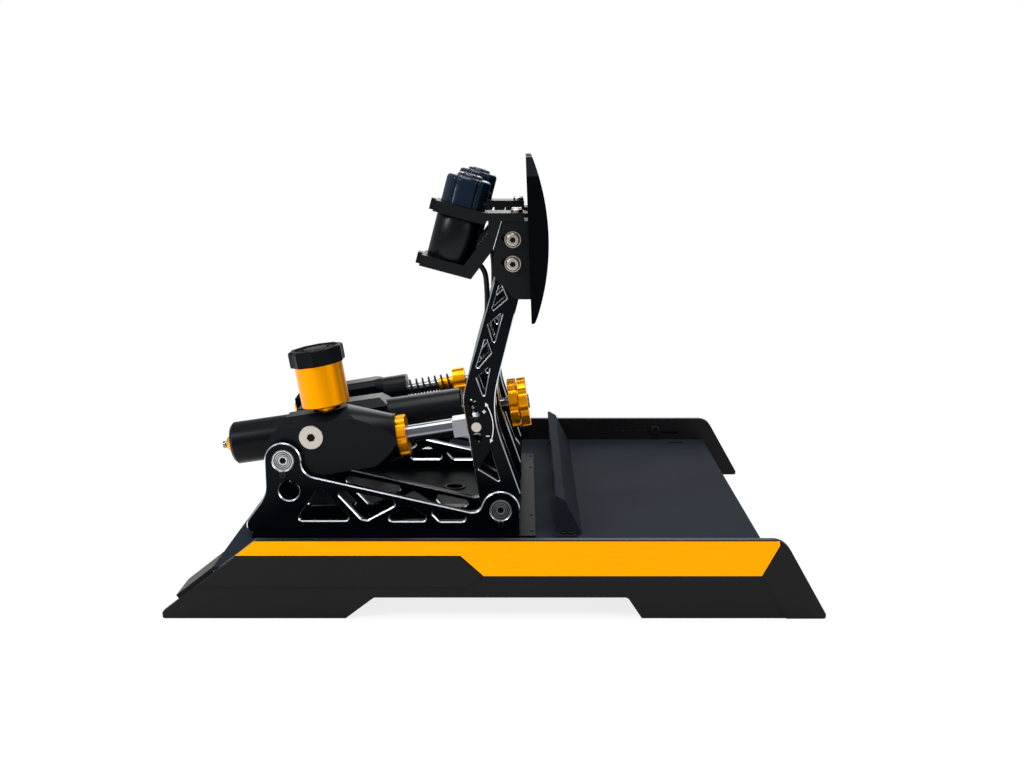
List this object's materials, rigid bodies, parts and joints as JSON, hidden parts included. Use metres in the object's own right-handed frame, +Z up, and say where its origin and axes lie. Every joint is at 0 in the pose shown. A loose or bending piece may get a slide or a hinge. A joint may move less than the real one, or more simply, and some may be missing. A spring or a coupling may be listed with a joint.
{
  "type": "sim racing pedal set",
  "caption": "Racing simulator pedals: clutch, brake and throttle arms on truss plates, with hydraulic, elastomer and spring actuators, motors, heel stop and side panels.",
  "frame": {"origin": "On the ground under the middle of the base", "axes": "X from the nose to the driver's heel, Y from the driver's left to the right, Z up"},
  "size_m": [0.4871, 0.41, 0.3324],
  "materials": {
    "panel_black": "satin powder coat",
    "strip_gold": "brushed, gold anodised",
    "deck_black": "fine matt powder coat",
    "frame_steel": "powder-coated steel",
    "screw_steel": "blackened and bright steel",
    "anodised_black": "black anodised, machined",
    "bearing_steel": "ground steel",
    "face_aluminium": "bead blasted, anodised",
    "motor_black": "satin and gloss black",
    "cable_rubber": "matt",
    "anodised_gold": "gold anodised, turned",
    "spring_steel": "black spring steel",
    "elastomer": "firm elastomer"
  },
  "bodies": {
    "base": {"side_panel_left": "panel_black", "side_panel_right": "panel_black", "accent_strips": "strip_gold", "badge_plates": "panel_black", "deck_plate": "deck_black", "pedal_base_plate": "deck_black", "nose_tabs": "panel_black", "deck_frame": "frame_steel", "panel_screws": "screw_steel", "truss_screws": "screw_steel", "heel_stop": "panel_black", "small_screws": "screw_steel", "truss_plate_1": "anodised_black", "truss_plate_2": "anodised_black", "truss_plate_3": "anodised_black", "truss_plate_4": "anodised_black", "pivot_bearings": "bearing_steel", "pivot_shafts": "bearing_steel", "shaft_spacers": "bearing_steel"},
    "clutch_pedal": {"clutch_arm_plates": "anodised_black", "clutch_arm_spacers": "anodised_black", "clutch_bracket": "anodised_black", "clutch_face_plate": "face_aluminium", "clutch_head_screws": "screw_steel", "clutch_link_pin": "bearing_steel", "clutch_motor": "motor_black", "clutch_motor_holder": "anodised_black", "clutch_motor_cable": "cable_rubber"},
    "clutch_hydraulic": {"clutch_cylinder": "anodised_black", "clutch_gland_nut": "anodised_gold", "clutch_port_plug": "screw_steel", "clutch_reservoir": "anodised_gold", "clutch_return_spring": "spring_steel"},
    "clutch_reservoir_lid": {"clutch_reservoir_cap": "anodised_black"},
    "clutch_push_rod": {"clutch_rod": "bearing_steel"},
    "brake_pedal": {"brake_arm_plates": "anodised_black", "brake_arm_spacers": "anodised_black", "brake_bracket": "anodised_black", "brake_face_plate": "face_aluminium", "brake_head_screws": "screw_steel", "brake_link_pins": "bearing_steel"},
    "brake_tube": {"brake_body": "anodised_black", "brake_rear_nut": "anodised_gold", "brake_elastomers": "elastomer"},
    "brake_push_rod": {"brake_rod": "bearing_steel"},
    "brake_preload_knob": {"brake_knob": "anodised_gold"},
    "throttle_pedal": {"throttle_arm_plates": "anodised_black", "throttle_arm_spacers": "anodised_black", "throttle_bracket": "anodised_black", "throttle_face_plate": "face_aluminium", "throttle_head_screws": "screw_steel", "throttle_link_pin": "bearing_steel", "throttle_motor": "motor_black", "throttle_motor_holder": "anodised_black", "throttle_motor_cable": "cable_rubber"},
    "throttle_guide": {"throttle_body": "anodised_black", "throttle_rear_nut": "anodised_gold"},
    "throttle_push_rod": {"throttle_rod": "bearing_steel", "throttle_spring": "spring_steel"},
    "throttle_preload_nut": {"throttle_adjuster": "anodised_gold"}
  },
  "joints": [
    {"name": "clutch_pedal_hinge", "type": "hinge", "parent": "base", "child": "clutch_pedal", "pos_m": [0.0035, -0.098, 0.058], "axis": [0, -1, 0], "range_deg": [0, 16], "stiffness_Nm_per_rad": 18, "springref_deg": -20.05},
    {"name": "clutch_actuator_hinge", "type": "hinge", "parent": "base", "child": "clutch_hydraulic", "pos_m": [-0.167, -0.098, 0.0983], "axis": [0, -1, 0], "range_deg": [-2.18, 0]},
    {"name": "clutch_rod_slide", "type": "slide", "parent": "clutch_hydraulic", "child": "clutch_push_rod", "axis": [0.987, 0, 0.161], "range_m": [-0.01842, 0], "deforming": ["clutch_return_spring"]},
    {"name": "brake_pedal_hinge", "type": "hinge", "parent": "base", "child": "brake_pedal", "pos_m": [0.0035, 0, 0.058], "axis": [0, -1, 0], "range_deg": [0, 6], "stiffness_Nm_per_rad": 120, "springref_deg": -4.58},
    {"name": "brake_actuator_hinge", "type": "hinge", "parent": "base", "child": "brake_tube", "pos_m": [-0.167, 0, 0.0983], "axis": [0, -1, 0], "range_deg": [-0.63, 0]},
    {"name": "brake_rod_slide", "type": "slide", "parent": "brake_tube", "child": "brake_push_rod", "axis": [0.9894, 0, 0.1454], "range_m": [-0.00632, 0], "deforming": ["brake_elastomers"]},
    {"name": "throttle_pedal_hinge", "type": "hinge", "parent": "base", "child": "throttle_pedal", "pos_m": [0.0035, 0.098, 0.058], "axis": [0, -1, 0], "range_deg": [0, 16], "stiffness_Nm_per_rad": 12, "springref_deg": -20.05},
    {"name": "throttle_actuator_hinge", "type": "hinge", "parent": "base", "child": "throttle_guide", "pos_m": [-0.167, 0.098, 0.0983], "axis": [0, -1, 0], "range_deg": [-2.18, 0]},
    {"name": "throttle_rod_slide", "type": "slide", "parent": "throttle_guide", "child": "throttle_push_rod", "axis": [0.987, 0, 0.161], "range_m": [-0.01842, 0], "deforming": ["throttle_spring"]},
    {"name": "reservoir_cap_turn", "type": "hinge", "parent": "clutch_hydraulic", "child": "clutch_reservoir_lid", "pos_m": [-0.14116, -0.098, 0.17344], "axis": [-0.161, 0, 0.987], "continuous": true},
    {"name": "brake_knob_turn", "type": "hinge", "parent": "brake_push_rod", "child": "brake_preload_knob", "pos_m": [0.01196, 0, 0.11854], "axis": [0.9894, 0, 0.1454], "continuous": true},
    {"name": "throttle_adjuster_turn", "type": "hinge", "parent": "throttle_push_rod", "child": "throttle_preload_nut", "pos_m": [-0.04067, 0.098, 0.11891], "axis": [0.987, 0, 0.161], "continuous": true}
  ],
  "couplings": [
    {"joint": "clutch_actuator_hinge", "follows": "clutch_pedal_hinge", "ratio": -0.13006},
    {"joint": "clutch_rod_slide", "follows": "clutch_pedal_hinge", "m_per_rad": -0.064877},
    {"joint": "brake_actuator_hinge", "follows": "brake_pedal_hinge", "ratio": -0.088},
    {"joint": "brake_rod_slide", "follows": "brake_pedal_hinge", "m_per_rad": -0.057458},
    {"joint": "throttle_actuator_hinge", "follows": "throttle_pedal_hinge", "ratio": -0.13006},
    {"joint": "throttle_rod_slide", "follows": "throttle_pedal_hinge", "m_per_rad": -0.064877}
  ]
}
